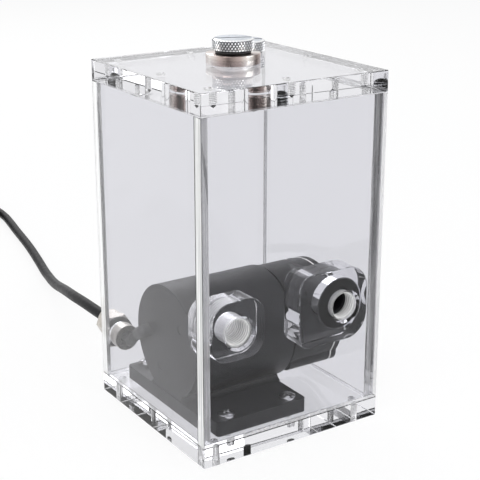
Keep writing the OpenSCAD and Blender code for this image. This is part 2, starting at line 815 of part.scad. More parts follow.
// Flanged tube from the head's neck into the outlet block
module outlet_spigot() {
    r = spigot_d / 2;
    groove = 1.6;
    groove_y = (spigot_front_y + spigot_back_y) / 2;
    color([0.12, 0.12, 0.13]) toward_front(neck_front_y + tail_l) translate([outlet_x, port_z, 0])
        rotate_extrude() polygon([
            [outlet_r, 0], [outlet_r + 1.5, 0], [outlet_r + 1.5, tail_l],
            [outlet_neck_d / 2, tail_l], [outlet_neck_d / 2, tail_l + neck_front_y - spigot_back_y],
            [r, tail_l + neck_front_y - spigot_back_y],
            [r, tail_l + neck_front_y - groove_y - groove / 2],
            [r - groove, tail_l + neck_front_y - groove_y - groove / 2],
            [r - groove, tail_l + neck_front_y - groove_y + groove / 2],
            [r, tail_l + neck_front_y - groove_y + groove / 2],
            [r, tail_l + neck_front_y - spigot_front_y - 0.6],
            [r - 0.6, tail_l + neck_front_y - spigot_front_y],
            [outlet_r, tail_l + neck_front_y - spigot_front_y]
        ]);
}

module outlet_seal() {
    section = 0.75;
    color([0.05, 0.05, 0.05]) toward_front((spigot_front_y + spigot_back_y) / 2)
        translate([outlet_x, port_z, 0]) rotate_extrude()
            translate([spigot_d / 2 - 1.6 + section + 0.02, 0]) circle(section);
}

// ---------------------------------------------------------------- gland and cable

// Lays a revolved or hexagonal piece along +Y at the gland, from y
module on_gland(y) {
    translate([gland_x, y, gland_z]) rotate([-90, 0, 0]) children();
}

// Hexagon with its corners rounded off by a chamfer, as a turned nut has
module hexagon(flats, h) {
    intersection() {
        cylinder(r = flats / sqrt(3), h = h, $fn = 6);
        rotate_extrude() polygon([
            [0, 0], [flats / 2, 0], [flats / sqrt(3), 0.8], [flats / sqrt(3), h - 0.8],
            [flats / 2, h], [0, h]
        ]);
    }
}

// Nickel body: thread through the panel, hexagon outside, neck for the cap
module gland_body() {
    color([0.76, 0.74, 0.7]) difference() {
        union() {
            on_gland(inner - gland_reach)
                cylinder(r = gland_thread_d / 2, h = gland_hex_y - inner + gland_reach + eps);
            on_gland(gland_hex_y) hexagon(gland_flats, gland_hex_l);
            on_gland(gland_neck_y - eps) cylinder(r = gland_thread_d / 2 - 0.8, h = gland_neck_l);
        }
        on_gland(inner - gland_reach - 1) cylinder(r = lead_d / 2 + 0.1, h = 40);
        on_gland(inner - gland_reach - eps) cylinder(r1 = lead_d / 2 + 1.4, r2 = lead_d / 2, h = 1.4);
        on_gland(gland_neck_y + 1) cylinder(r = gland_thread_d / 2 - 2, h = gland_neck_l);
    }
}

// Sealing washer between the panel and the hexagon
module gland_seal() {
    color([0.07, 0.07, 0.07]) on_gland(half_w) difference() {
        cylinder(r = gland_flats / 2 - 0.2, h = washer_t);
        translate([0, 0, -1]) cylinder(r = gland_thread_d / 2 + fit_gap, h = washer_t + 2);
    }
}

// Rubber bush squeezed onto the lead
module gland_bush() {
    r = gland_thread_d / 2 - 2 - fit_gap;
    color([0.08, 0.08, 0.08]) on_gland(gland_neck_y + 1) difference() {
        cylinder(r = r, h = gland_neck_l);
        translate([0, 0, -1]) cylinder(r = lead_d / 2 + 0.1, h = gland_neck_l + 2);
    }
}

// Domed cap nut
module gland_cap() {
    r = gland_flats / 2;
    color([0.76, 0.74, 0.7]) difference() {
        union() {
            on_gland(gland_cap_y) hexagon(gland_flats - 1, cap_l * 0.6);
            on_gland(gland_cap_y) rotate_extrude() polygon([
                [0, 0], [r - 1.2, 0], [r - 1.2, cap_l * 0.6], [r - 1.9, cap_l * 0.82],
                [r - 3.2, cap_l], [0, cap_l]
            ]);
        }
        on_gland(gland_cap_y - 1) cylinder(r = gland_thread_d / 2 - 0.8 + fit_gap, h = 1 + gland_neck_l - 0.2);
        on_gland(gland_cap_y) cylinder(r = gland_thread_d / 2 - 1.2, h = gland_neck_l + 0.8);
        on_gland(gland_cap_y) cylinder(r = cable_d / 2 + 0.1, h = cap_l + 1);
    }
}

// Moulded elbow where the lead enters the end cap
module lead_boot() {
    color([0.09, 0.09, 0.09]) difference() {
        union() {
            along_x(boot_x) translate([boot_y, shaft_z, 0]) cylinder(r = boot_r, h = motor_x - boot_x + 1);
            along_x(motor_x - eps) translate([boot_y, shaft_z, 0])
                cylinder(r = boot_hole_r - fit_gap, h = cap_t);
            translate([boot_x, boot_y, shaft_z]) {
                sphere(boot_r, $fn = 32);
                rotate([-90 - boot_tilt, 0, 0]) cylinder(r = boot_r, h = boot_l);
            }
        }
        translate([boot_x, boot_y, shaft_z]) rotate([-90 - boot_tilt, 0, 0])
            translate([0, 0, 2.8]) cylinder(r = lead_d / 2 + 0.1, h = boot_l);
    }
}

module inner_lead() {
    color([0.08, 0.08, 0.08]) swept_tube(lead_route, lead_d / 2, 12);
}

module power_cable() {
    color([0.06, 0.06, 0.06]) swept_tube(cable_route, cable_d / 2, 10);
}

// Outer shape of the coil: its turns lie beside and on each other
module cable_coil() {
    across = coil_turns_wide * cable_d;
    color([0.06, 0.06, 0.06]) translate([coil_centre[0], coil_centre[1], 0]) rotate_extrude()
        translate([coil_r + cable_d / 2 - across, 0]) square([across, coil_turns_high * cable_d]);
}

module cable_tail() {
    color([0.06, 0.06, 0.06]) swept_tube(tail_route, cable_d / 2, 10);
}

// Flat free-hanging plug with a finger lip and four contact wells
module cable_plug() {
    end = tail_route[len(tail_route) - 1];
    wells = 4;
    step = plug_w / (wells + 0.6);
    color([0.1, 0.1, 0.1]) translate([end[0], end[1], plug_t / 2]) rotate([90, 0, 0]) difference() {
        union() {
            linear_extrude(plug_l) polygon(bevelled(plug_w, plug_t, 0.5));
            translate([0, plug_t / 2 - eps, plug_l * 0.25]) linear_extrude(plug_l * 0.5)
                polygon([[-2, 0], [2, 0], [1.5, 1], [-1.5, 1]]);
        }
        for (i = [0 : wells - 1])
            translate([(i - (wells - 1) / 2) * step, 0, plug_l - 5]) linear_extrude(6)
                square([step * 0.62, plug_t * 0.5], center = true);
    }
}

// ---------------------------------------------------------------- assembly

bottom_plate();
front_panel();
back_panel();
left_panel();
right_panel();
lid_plate();
inlet_block();
outlet_block();
fill_collar();
collar_seal();
fill_plug();
fill_plug_seal();
vent_plug();
vent_plug_seal();
motor_housing();
end_cap();
foot_screws();
stator_core();
stator_coils();
controller_board();
isolation_can();
pump_shaft();
rotor_magnet();
impeller();
pump_head();
head_gasket();
front_cover();
cover_screws();
outlet_spigot();
outlet_seal();
gland_body();
gland_seal();
gland_bush();
gland_cap();
lead_boot();
inner_lead();
power_cable();
cable_coil();
cable_tail();
cable_plug();
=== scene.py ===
"""Dresses the coolant pump reservoir in its own frame and sets up its studio and camera.

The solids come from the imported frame. The acrylic, the threads, the knurls, the turned and moulded
pieces that are seen from near, the lead and the outside cable are modelled here, in metres.
"""

import json
import logging
import math
from dataclasses import dataclass, field
from enum import Enum
from typing import Callable, Iterable, Sequence

import bmesh
import bpy
from mathutils import Matrix, Vector

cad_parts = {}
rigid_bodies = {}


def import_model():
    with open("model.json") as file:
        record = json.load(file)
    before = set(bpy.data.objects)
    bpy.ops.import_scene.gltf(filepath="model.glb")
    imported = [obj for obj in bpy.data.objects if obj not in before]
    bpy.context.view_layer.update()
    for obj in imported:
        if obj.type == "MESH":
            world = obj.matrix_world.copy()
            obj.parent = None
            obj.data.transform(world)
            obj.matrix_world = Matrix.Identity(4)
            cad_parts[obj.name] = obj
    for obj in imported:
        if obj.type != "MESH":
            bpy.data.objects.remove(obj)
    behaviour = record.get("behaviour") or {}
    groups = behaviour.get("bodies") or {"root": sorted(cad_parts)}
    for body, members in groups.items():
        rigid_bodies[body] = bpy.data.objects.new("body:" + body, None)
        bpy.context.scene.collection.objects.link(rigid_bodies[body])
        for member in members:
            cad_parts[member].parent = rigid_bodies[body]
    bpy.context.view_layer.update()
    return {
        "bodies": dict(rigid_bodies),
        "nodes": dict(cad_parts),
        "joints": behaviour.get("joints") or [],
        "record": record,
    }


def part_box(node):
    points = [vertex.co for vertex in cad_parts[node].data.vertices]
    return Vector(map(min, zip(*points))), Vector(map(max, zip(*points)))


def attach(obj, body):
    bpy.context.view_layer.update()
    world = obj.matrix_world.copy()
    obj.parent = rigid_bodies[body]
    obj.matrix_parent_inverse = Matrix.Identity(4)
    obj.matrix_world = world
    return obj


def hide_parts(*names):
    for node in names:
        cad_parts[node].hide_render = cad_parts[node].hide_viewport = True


LOG = logging.getLogger("scene")
MM = 0.001
FLAT_ANGLE = 14.0
PIPE_PITCH = 1.337 * MM
PLUG_BORE = 6.58 * MM
Socket = bpy.types.NodeSocket
Material = bpy.types.Material
Mesh = bpy.types.Mesh
Polygon = bpy.types.MeshPolygon
Vert = bmesh.types.BMVert
Rgb = tuple[float, float, float]
Profile = list[tuple[float, float]]


class Slot(Enum):
    """The record's material slots, one of which each new piece keeps beside the material that gives its
    finish.
    """

    ACRYLIC = "clear_acrylic"
    BLOCK = "block_acrylic"
    NICKEL = "nickel"
    KNURL = "knurled_steel"
    CABLE = "cable_jacket"


# ------------------------------------------------------------------ finishes


class Nodes:
    """A small helper that adds and joins shader nodes of one material."""

    def __init__(self, name: str) -> None:
        """Starts a node material with only its output.

        Args:
            name: The material's name.
        """
        self.material = bpy.data.materials.new(name)
        self.material.use_nodes = True
        self.tree = self.material.node_tree
        self.tree.nodes.clear()
        self.output = self.tree.nodes.new("ShaderNodeOutputMaterial")

    def add(self, kind: str, **settings: object) -> bpy.types.Node:
        """Adds a node.

        Args:
            kind: The node's type, without the ShaderNode prefix.
            **settings: Values for the node's own properties.

        Returns:
            The new node.
        """
        node = self.tree.nodes.new("ShaderNode" + kind)
        for key, value in settings.items():
            setattr(node, key, value)
        return node

    def join(self, source: Socket, target: Socket) -> None:
        """Links an output to an input.

        Args:
            source: The output socket.
            target: The input socket.
        """
        self.tree.links.new(source, target)

    def coordinates(self) -> Socket:
        """Gives the object's own coordinates.

        Returns:
            The Object output of a Texture Coordinate node.
        """
        return self.add("TexCoord").outputs["Object"]

    def mapped(self, setting: str, value: Sequence[float]) -> Socket:
        """Moves or stretches the object's coordinates.

        Args:
            setting: Location or Scale.
            value: The setting's value.

        Returns:
            The mapped coordinates.
        """
        node = self.add("Mapping")
        node.inputs[setting].default_value = value
        self.join(self.coordinates(), node.inputs["Vector"])
        return node.outputs["Vector"]

    def streaks(self, stretch: Sequence[float], scale: float = 900.0) -> Socket:
        """Adds noise that is drawn out along some axes.

        Args:
            stretch: The scale along each axis, where less gives longer streaks.
            scale: Cells per metre.

        Returns:
            The noise's value.
        """
        node = self.add("TexNoise")
        node.inputs["Scale"].default_value = scale
        self.join(self.mapped("Scale", stretch), node.inputs["Vector"])
        return node.outputs["Fac"]

    def noise(self, scale: float, detail: float = 3.0) -> Socket:
        """Adds noise over the object's coordinates.

        Args:
            scale: Cells per metre.
            detail: Octaves.

        Returns:
            The noise's value.
        """
        node = self.add("TexNoise")
        node.inputs["Scale"].default_value = scale
        node.inputs["Detail"].default_value = detail
        self.join(self.coordinates(), node.inputs["Vector"])
        return node.outputs["Fac"]

    def spread(self, value: Socket, low: float, high: float,
               start: float = 0.3, end: float = 0.7) -> Socket:
        """Maps a value onto a range.

        Args:
            value: The value to map.
            low: The result at start.
            high: The result at end.
            start: The value that gives low.
            end: The value that gives high.

        Returns:
            The mapped value.
        """
        node = self.add("MapRange")
        node.inputs["From Min"].default_value = start
        node.inputs["From Max"].default_value = end
        node.inputs["To Min"].default_value = low
        node.inputs["To Max"].default_value = high
        self.join(value, node.inputs["Value"])
        return node.outputs["Result"]

    def blend(self, factor: Socket, first: Rgb, second: Rgb) -> Socket:
        """Mixes two colours by a value.

        Args:
            factor: 0 gives the first colour and 1 the second.
            first: The first colour.
            second: The second colour.

        Returns:
            The mixed colour.
        """
        node = self.add("Mix", data_type="RGBA")
        node.inputs["A"].default_value = (*first, 1.0)
        node.inputs["B"].default_value = (*second, 1.0)
        self.join(factor, node.inputs["Factor"])
        return node.outputs["Result"]

    def bump(self, height: Socket, strength: float, distance: float) -> Socket:
        """Turns a height into a bumped normal.

        Args:
            height: The height, from 0 to 1.
            strength: How strong the bump is.
            distance: The depth of the bump in metres.

        Returns:
            The normal.
        """
        node = self.add("Bump")
        node.inputs["Strength"].default_value = strength
        node.inputs["Distance"].default_value = distance
        self.join(height, node.inputs["Height"])
        return node.outputs["Normal"]

    def principled(self, colour: Rgb, **sockets: float | Sequence[float]) -> bpy.types.Node:
        """Adds the surface shader and joins it to the output.

        Args:
            colour: The base colour.
            **sockets: Values by socket name, with underscores for spaces.

        Returns:
            The Principled node.
        """
        node = self.add("BsdfPrincipled")
        node.inputs["Base Color"].default_value = (*colour, 1.0)
        for key, value in sockets.items():
            node.inputs[key.replace("_", " ")].default_value = value
        self.join(node.outputs["BSDF"], self.output.inputs["Surface"])
        return node

    def plain(self, kind: str, colour: Rgb) -> Socket:
        """Adds a shader that has only a colour.

        Args:
            kind: The shader's type.
            colour: The shader's colour.

        Returns:
            The shader's output.
        """
        node = self.add(kind)
        node.inputs["Color"].default_value = (*colour, 1.0)
        return node.outputs[0]

    def mix(self, factor: Socket, first: Socket,
            second: Socket) -> None:
        """Mixes two shaders and joins them to the output.

        Args:
            factor: 0 gives the first shader and 1 the second.
            first: The first shader.
            second: The second shader.
        """
        node = self.add("MixShader")
        self.join(factor, node.inputs["Fac"])
        self.join(first, node.inputs[1])
        self.join(second, node.inputs[2])
        self.join(node.outputs["Shader"], self.output.inputs["Surface"])


@dataclass(frozen=True)
class Acrylic:
    """Clear cast acrylic, which light crosses without dark shadows."""

    name: str
    tint: Rgb = (0.84, 0.84, 0.865)
    mirror: float = 0.35
    shadow: Rgb = (0.95, 0.95, 0.955)

    def build(self) -> Material:
        """Builds the material.

        Returns:
            The material.
        """
        n = Nodes(self.name)
        shader = n.principled(self.tint, Roughness=0.0, IOR=1.49, Transmission_Weight=1.0,
                              Specular_Tint=(self.mirror, self.mirror, self.mirror, 1.0))
        shaded = n.add("LightPath").outputs["Is Shadow Ray"]
        n.mix(shaded, shader.outputs["BSDF"], n.plain("BsdfTransparent", self.shadow))
        return n.material


@dataclass(frozen=True)
class Frosted:
    """A thread cut in acrylic: white crests, and painted shade in the grooves, which the attribute depth
    turns mostly clear so that the dark behind shows.
    """

    name: str
    colour: Rgb = (0.93, 0.93, 0.92)
    clear: Rgb = (0.97, 0.97, 0.97)
    crest: float = 0.02
    groove: float = 0.85

    def build(self) -> Material:
        """Builds the material.

        Returns:
            The material.
        """
        n = Nodes(self.name)
        shader = n.principled(self.colour, IOR=1.3, Transmission_Weight=0.2)
        n.join(n.spread(n.noise(1500.0), 0.25, 0.5), shader.inputs["Roughness"])
        # Painted shade: grooves, found by the attribute depth, turn mostly clear so that they read dark
        # between the white crests.
        depth = n.add("Attribute", attribute_name="depth").outputs["Fac"]
        n.mix(n.spread(depth, self.crest, self.groove, 0.2, 0.6), shader.outputs["BSDF"],
              n.plain("BsdfTransparent", self.clear))
        return n.material


@dataclass(frozen=True)
class Cloudy:
    """A sawn face or a glued joint of acrylic: a white veil, streaked along the cut."""

    name: str
    veil: float
    uneven: float = 0.2
    colour: Rgb = (0.95, 0.95, 0.94)
    stretch: tuple[float, float, float] = (1.0, 1.0, 0.02)

    def build(self) -> Material:
        """Builds the material.

        Returns:
            The material.
        """
        n = Nodes(self.name)
        veil = n.spread(n.streaks(self.stretch), self.veil - self.uneven, self.veil + self.uneven)
        n.mix(veil, n.plain("BsdfTransparent", (1.0, 1.0, 1.0)), n.plain("BsdfDiffuse", self.colour))
        return n.material


@dataclass(frozen=True)
class Moulded:
    """Moulded plastic or rubber with a fine grain, faint mottling and a little dust."""

    name: str
    colour: Rgb
    roughness: float = 0.45
    grain: float = 0.15
    grain_scale: float = 1800.0
    dust: float = 0.0
    specular: float = 0.5

    def build(self) -> Material:
        """Builds the material.

        Returns:
            The material.
        """
        n = Nodes(self.name)
        shader = n.principled(self.colour, Specular_IOR_Level=self.specular)
        mottled = tuple(min(1.0, c * 1.25 + 0.004) for c in self.colour)
        colour = n.blend(n.spread(n.noise(120.0, 4.0), 0.0, 1.0), self.colour, mottled)
        if self.dust:
            specks = n.spread(n.noise(2600.0, 1.0), 0.0, 1.0, 0.74, 0.8)
            patches = n.spread(n.noise(60.0, 2.0), 0.0, self.dust, 0.45, 0.7)
            both = n.add("Math", operation="MULTIPLY")
            n.join(specks, both.inputs[0])
            n.join(patches, both.inputs[1])
            dusty = n.add("Mix", data_type="RGBA")
            dusty.inputs["B"].default_value = (0.5, 0.5, 0.5, 1.0)
            n.join(both.outputs[0], dusty.inputs["Factor"])
            n.join(colour, dusty.inputs["A"])
            colour = dusty.outputs["Result"]
        n.join(colour, shader.inputs["Base Color"])
        n.join(n.spread(n.noise(400.0), self.roughness - 0.06, self.roughness + 0.08),
               shader.inputs["Roughness"])
        n.join(n.bump(n.noise(self.grain_scale, 2.0), self.grain, 0.1 * MM), shader.inputs["Normal"])
        return n.material


@dataclass(frozen=True)
class Metal:
    """Plated or turned metal with fine scratches and slightly uneven polish."""

    name: str
    colour: Rgb
    second: Rgb
    roughness: float = 0.15
    scratches: float = 0.1
    stretch: tuple[float, float, float] = (1.0, 1.0, 12.0)

    def build(self) -> Material:
        """Builds the material.

        Returns:
            The material.
        """
        n = Nodes(self.name)
        shader = n.principled(self.colour, Metallic=1.0)
        n.join(n.blend(n.spread(n.noise(250.0, 3.0), 0.0, 1.0), self.colour, self.second),
               shader.inputs["Base Color"])
        lines = n.streaks(self.stretch)
        n.join(n.spread(lines, self.roughness * 0.7, self.roughness * 1.4), shader.inputs["Roughness"])
        n.join(n.bump(lines, self.scratches, 0.02 * MM), shader.inputs["Normal"])
        return n.material


@dataclass(frozen=True)
class Knurled:
    """Bright plating with painted shade: its grooves, stored on the mesh as the attribute depth, are painted
    dark.
    """

    name: str
    peak: Rgb = (0.86, 0.87, 0.88)
    valley_painted_shade: Rgb = (0.04, 0.04, 0.045)

    def build(self) -> Material:
        """Builds the material.

        Returns:
            The material.
        """
        n = Nodes(self.name)
        shader = n.principled(self.peak, Metallic=1.0, Roughness=0.18)
        depth = n.add("Attribute", attribute_name="depth")
        # Painted shade: the deeper a point lies in a groove, the darker its colour.
        n.join(n.blend(n.spread(depth.outputs["Fac"], 0.0, 1.0, 0.25, 0.8), self.peak, self.valley_painted_shade),
               shader.inputs["Base Color"])
        return n.material


@dataclass(frozen=True)
class NickelPaintedReflections:
    """Nickel turned on a lathe, with painted reflections: bands of light, pink and dark around its axis stand
    in for the surroundings mirrored in its polish.
    """

    name: str
    centre: tuple[float, float]
    light: Rgb = (0.88, 0.84, 0.8)
    dark: Rgb = (0.16, 0.125, 0.115)
    roughness: float = 0.16

    def build(self) -> Material:
        """Builds the material.

        Returns:
            The material.
        """
        n = Nodes(self.name)
        shader = n.principled(self.light, Metallic=1.0, Roughness=self.roughness)
        # Painted reflections: a radial gradient around the collar's axis lays light, pink and dark bands into
        # the colour.
        wheel = n.add("TexGradient", gradient_type="RADIAL")
        n.join(n.mapped("Location", (-self.centre[0], -self.centre[1], 0.0)), wheel.inputs["Vector"])
        ramp = n.add("ValToRGB")
        stops = ramp.color_ramp.elements
        stops.remove(stops[1])
        reflected_pink = (0.5, 0.41, 0.38)
        painted_reflection_bands = [(0.0, self.light), (0.08, reflected_pink), (0.13, self.dark), (0.2, reflected_pink), (0.25, self.light),
                 (0.31, self.dark), (0.38, reflected_pink), (0.45, self.light), (0.5, reflected_pink), (0.58, self.dark),
                 (0.66, reflected_pink), (0.72, self.light), (0.78, self.dark), (0.9, reflected_pink), (1.0, self.light)]
        stops[0].color = (*painted_reflection_bands[0][1], 1.0)
        for place, colour in painted_reflection_bands[1:]:
            stops.new(place).color = (*colour, 1.0)
        n.join(wheel.outputs["Fac"], ramp.inputs["Fac"])
        n.join(ramp.outputs["Color"], shader.inputs["Base Color"])
        return n.material


# ------------------------------------------------------------------ mesh making


def put(name: str, data: bpy.types.ID) -> bpy.types.Object:
    """Puts a mesh, curve, lamp or camera in the scene.

    Args:
        name: The object's name.
        data: What the object shows.

    Returns:
        The new object.
    """
    obj = bpy.data.objects.new(name, data)
    bpy.context.scene.collection.objects.link(obj)
    return obj


@dataclass
class Piece:
    """One finished piece of the visual model."""

    name: str
    mesh: Mesh
    material: Material
    body: str
    slot: Slot
    replaces: tuple[str, ...] = ()
    smooth_angle: float = 32.0
    second: Material | None = None
    takes_second: Callable[[Polygon], bool] | None = None

    def place(self) -> bpy.types.Object:
        """Puts the piece in the scene and ties it to its body.

        Returns:
            The new object.
        """
        self.mesh.name = self.name
        self.mesh.materials.clear()
        self.mesh.materials.append(self.material)
        if self.second and self.takes_second:
            self.mesh.materials.append(self.second)
            for polygon in self.mesh.polygons:
                polygon.material_index = int(self.takes_second(polygon))
        self.mesh.shade_smooth()
        self.mesh.set_sharp_from_angle(angle=math.radians(self.smooth_angle))
        obj = put(self.name, self.mesh)
        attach(obj, self.body)
        if self.replaces:
            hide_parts(*self.replaces)
        LOG.info("%s: %d faces on %s", self.name, len(self.mesh.polygons), self.body)
        return obj


def to_mesh(bm: bmesh.types.BMesh, name: str = "shape") -> Mesh:
    """Cleans a bmesh and turns it into a mesh.

    Args:
        bm: The bmesh, which is freed.
        name: The mesh's name.

    Returns:
        The mesh.
    """
    bmesh.ops.remove_doubles(bm, verts=bm.verts, dist=1e-7)
    bmesh.ops.recalc_face_normals(bm, faces=bm.faces)
    mesh = bpy.data.meshes.new(name)
    bm.to_mesh(mesh)
    bm.free()
    return mesh


def box_mesh(low: Vector, high: Vector, bevel: float = 0.0) -> Mesh:
    """Makes a box with rounded edges.

    Args:
        low: The lowest corner.
        high: The highest corner.
        bevel: The radius of the edges.

    Returns:
        The mesh.
    """
    bm = bmesh.new()
    bmesh.ops.create_cube(bm, size=1.0)
    bmesh.ops.scale(bm, vec=high - low, verts=bm.verts)
    bmesh.ops.translate(bm, vec=(high + low) / 2, verts=bm.verts)
    if bevel > 0:
        bmesh.ops.bevel(bm, geom=bm.edges[:], offset=bevel, segments=2, profile=0.5, affect="EDGES",
                        material=-1)
    return to_mesh(bm)


def lathe_mesh(profile: Sequence[tuple[float, float]], place: Matrix, steps: int = 96,
               closed: bool = True) -> Mesh:
    """Turns a profile about the Z axis and moves it into place.

    Args:
        profile: Points of radius and height.
        place: Where the turned shape goes.
        steps: The number of faces around.
        closed: Whether the profile's last point joins its first.

    Returns:
        The mesh.
    """
    bm = bmesh.new()
    rings = []
    for k in range(steps):
        a = 2 * math.pi * k / steps
        rings.append([bm.verts.new((r * math.cos(a), r * math.sin(a), z)) for r, z in profile])
    count = len(profile)
    last = count if closed else count - 1
    for k in range(steps):
        here, there = rings[k], rings[(k + 1) % steps]
        for i in range(last):
            j = (i + 1) % count
            corners = [here[i], there[i], there[j], here[j]]
            bm.faces.new(corners)
    bmesh.ops.remove_doubles(bm, verts=bm.verts, dist=1e-8)
    bmesh.ops.transform(bm, matrix=place, verts=bm.verts)
    return to_mesh(bm)


def bore_mesh(radius: float, start: float, end: float, place: Matrix, steps: int = 96) -> Mesh:
    """Makes the closed shape of a round hole.

    Args:
        radius: The hole's radius.
        start: Where it starts along its axis.
        end: Where it ends along its axis.
        place: Where the hole goes.
        steps: The number of faces around.

    Returns:
        The mesh.
    """
    return lathe_mesh([(0, start), (radius, start), (radius, end), (0, end)], place, steps, closed=False)


def prism_mesh(outline: Sequence[tuple[float, float]], depth: float, place: Matrix,
               bevel: float = 0.0) -> Mesh:
    """Extrudes an outline along Z and moves it into place.

    Args:
        outline: The outline's points, counterclockwise.
        depth: The length of the extrusion.
        place: Where the prism goes.
        bevel: The radius of the edges around both ends.

    Returns:
        The mesh.
    """
    bm = bmesh.new()
    bottom = [bm.verts.new((x, y, 0.0)) for x, y in outline]
    face = bm.faces.new(bottom)
    grown = bmesh.ops.extrude_face_region(bm, geom=[face])
    tops = [g for g in grown["geom"] if isinstance(g, Vert)]
    bmesh.ops.translate(bm, vec=(0, 0, depth), verts=tops)
    if bevel > 0:
        rims = [e for e in bm.edges if abs(e.verts[0].co.z - e.verts[1].co.z) < 1e-9]
        bmesh.ops.bevel(bm, geom=rims, offset=bevel, segments=2, profile=0.5, affect="EDGES", material=-1)
    bmesh.ops.transform(bm, matrix=place, verts=bm.verts)
    return to_mesh(bm)


def rounded_outline(width: float, height: float, radii: tuple[float, float], arc: int = 12) -> Profile:
    """Gives a rectangle with round corners about the origin.

    Args:
        width: The rectangle's width.
        height: The rectangle's height.
        radii: The corner radii on the left and on the right.
        arc: The number of steps in each corner.

    Returns:
        The outline's points, counterclockwise.
    """
    points = []
    for quarter, (sx, sy) in enumerate([(1, 1), (-1, 1), (-1, -1), (1, -1)]):
        radius = radii[sx > 0]
        cx, cy = sx * (width / 2 - radius), sy * (height / 2 - radius)
        for k in range(arc + 1):
            a = math.radians(90 * (quarter + k / arc))
            points.append((cx + radius * math.cos(a), cy + radius * math.sin(a)))
    return points


def carve(mesh: Mesh, cutters: Iterable[Mesh]) -> Mesh:
    """Cuts shapes out of a mesh.

    Args:
        mesh: The mesh to cut.
        cutters: The closed shapes to take away.

    Returns:
        The cut mesh.
    """
    body = put("carving", mesh)
    tools = []
    for k, cutter in enumerate(cutters):
        tool = put(f"cutter{k}", cutter)
        modifier = body.modifiers.new(f"cut{k}", "BOOLEAN")
        modifier.operation = "DIFFERENCE"
        modifier.solver = "EXACT"
        modifier.object = tool
        tools.append(tool)
    graph = bpy.context.evaluated_depsgraph_get()
    result = bpy.data.meshes.new_from_object(body.evaluated_get(graph))
    for tool in [*tools, body]:
        bpy.data.objects.remove(tool)
    return result


def join_meshes(meshes: Iterable[Mesh]) -> Mesh:
    """Puts several meshes into one.

    Args:
        meshes: The meshes.

    Returns:
        One mesh with all of them.
    """
    bm = bmesh.new()
    for mesh in meshes:
        bm.from_mesh(mesh)
    joined = bpy.data.meshes.new("joined")
    bm.to_mesh(joined)
    bm.free()
    return joined


def along(axis: str, at: Vector) -> Matrix:
    """Gives the matrix that lays a shape's own Z along a direction.

    Args:
        axis: One of +X, -Y, +Y, +Z and -Z.
        at: Where the shape's origin goes.

    Returns:
        The matrix.
    """
    turns = {
        "+X": Matrix.Rotation(math.radians(90), 4, "Y"),
        "-Y": Matrix.Rotation(math.radians(90), 4, "X"),
        "+Y": Matrix.Rotation(math.radians(-90), 4, "X"),
        "+Z": Matrix.Identity(4),
        "-Z": Matrix.Rotation(math.radians(180), 4, "X"),
    }
    return Matrix.Translation(at) @ turns[axis]


@dataclass(frozen=True)
class Thread:
    """A right-handed V thread, made as a closed sleeve with a plain side."""

    crest: float
    root: float
    plain: float
    pitch: float
    length: float
    taper: float = 0.0
    around: int = 72
    per_turn: int = 6

    def radius(self, a: float, z: float) -> float:
        """Gives the threaded side's radius at a place.

        Args:
            a: The angle around the axis, in radians.
            z: The height along the axis.

        Returns:
            The radius.
        """
        phase = (z / self.pitch - a / (2 * math.pi)) % 1.0
        wave = abs(2 * phase - 1)
        wave = min(1.0, max(0.0, (wave - 0.12) / 0.76))
        ends = min(1.0, max(0.0, min(z, self.length - z) / max(self.taper, 1e-9)))
        return self.root + (self.crest - self.root) * wave * (ends if self.taper else 1.0)

    def mesh(self, place: Matrix) -> Mesh:
        """Builds the sleeve.

        Args:
            place: Where the sleeve goes.

        Returns:
            The mesh.
        """
        rows = max(2, round(self.length / self.pitch * self.per_turn))
        bm = bmesh.new()
        layer = bm.verts.layers.float.new("depth")
        threaded, plain = [], []
        for j in range(rows + 1):
            z = self.length * j / rows
            cut, smooth = [], []
            for k in range(self.around):
                a = 2 * math.pi * k / self.around
                r = self.radius(a, z)
                for ring, q in ((cut, r), (smooth, self.plain)):
                    vert = bm.verts.new((q * math.cos(a), q * math.sin(a), z))
                    vert[layer] = (self.crest - r) / (self.crest - self.root)
                    ring.append(vert)
            threaded.append(cut)
            plain.append(smooth)
        loops = [*threaded, *reversed(plain)]
        for j, ring in enumerate(loops):
            above = loops[(j + 1) % len(loops)]
            for k in range(self.around):
                m = (k + 1) % self.around
                bm.faces.new([ring[k], ring[m], above[m], above[k]])
        bmesh.ops.transform(bm, matrix=place, verts=bm.verts)
        return to_mesh(bm)


def smooth_line(points: Sequence[Vector], steps: int = 4) -> list[Vector]:
    """Runs a smooth curve through points.

    Args:
        points: The points that the curve passes through.
        steps: The number of pieces between two points.

    Returns:
        The curve's points.
    """
    line = []
    for i in range(len(points) - 1):
        before = points[max(i - 1, 0)]
        a, b = points[i], points[i + 1]
        after = points[min(i + 2, len(points) - 1)]
        for k in range(steps):
            t = k / steps
            line.append(0.5 * ((2 * a) + (b - before) * t + (2 * before - 5 * a + 4 * b - after) * t * t
                               + (3 * a - before - 3 * b + after) * t ** 3))
    line.append(points[-1].copy())
    return line


def line_length(points: Sequence[Vector]) -> float:
    """Measures a line.

    Args:
        points: The line's points.

    Returns:
        Its length.
    """
    return sum((b - a).length for a, b in zip(points, points[1:]))


def wire(name: str, points: Sequence[Vector], radius: float, material: Material,
         replaces: tuple[str, ...]) -> bpy.types.Object:
    """Makes a round cord along a line, as a curve.

    Args:
        name: The piece's name.
        points: The cord's middle line.
        radius: The cord's radius.
        material: The cord's material.
        replaces: The solids that the cord stands for.

    Returns:
        The curve's object.
    """
    data = bpy.data.curves.new(name, "CURVE")
    data.dimensions = "3D"
    data.bevel_depth = radius
    data.bevel_resolution = 6
    data.use_fill_caps = True
    spline = data.splines.new("POLY")
    spline.points.add(len(points) - 1)
    for point, place in zip(spline.points, points):
        point.co = (*place, 1.0)
    spline.use_smooth = True
    data.materials.append(material)
    obj = put(name, data)
    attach(obj, "tank")
    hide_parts(*replaces)
    LOG.info("%s: %.3f m", name, line_length(points))
    return obj


# ------------------------------------------------------------------ the look


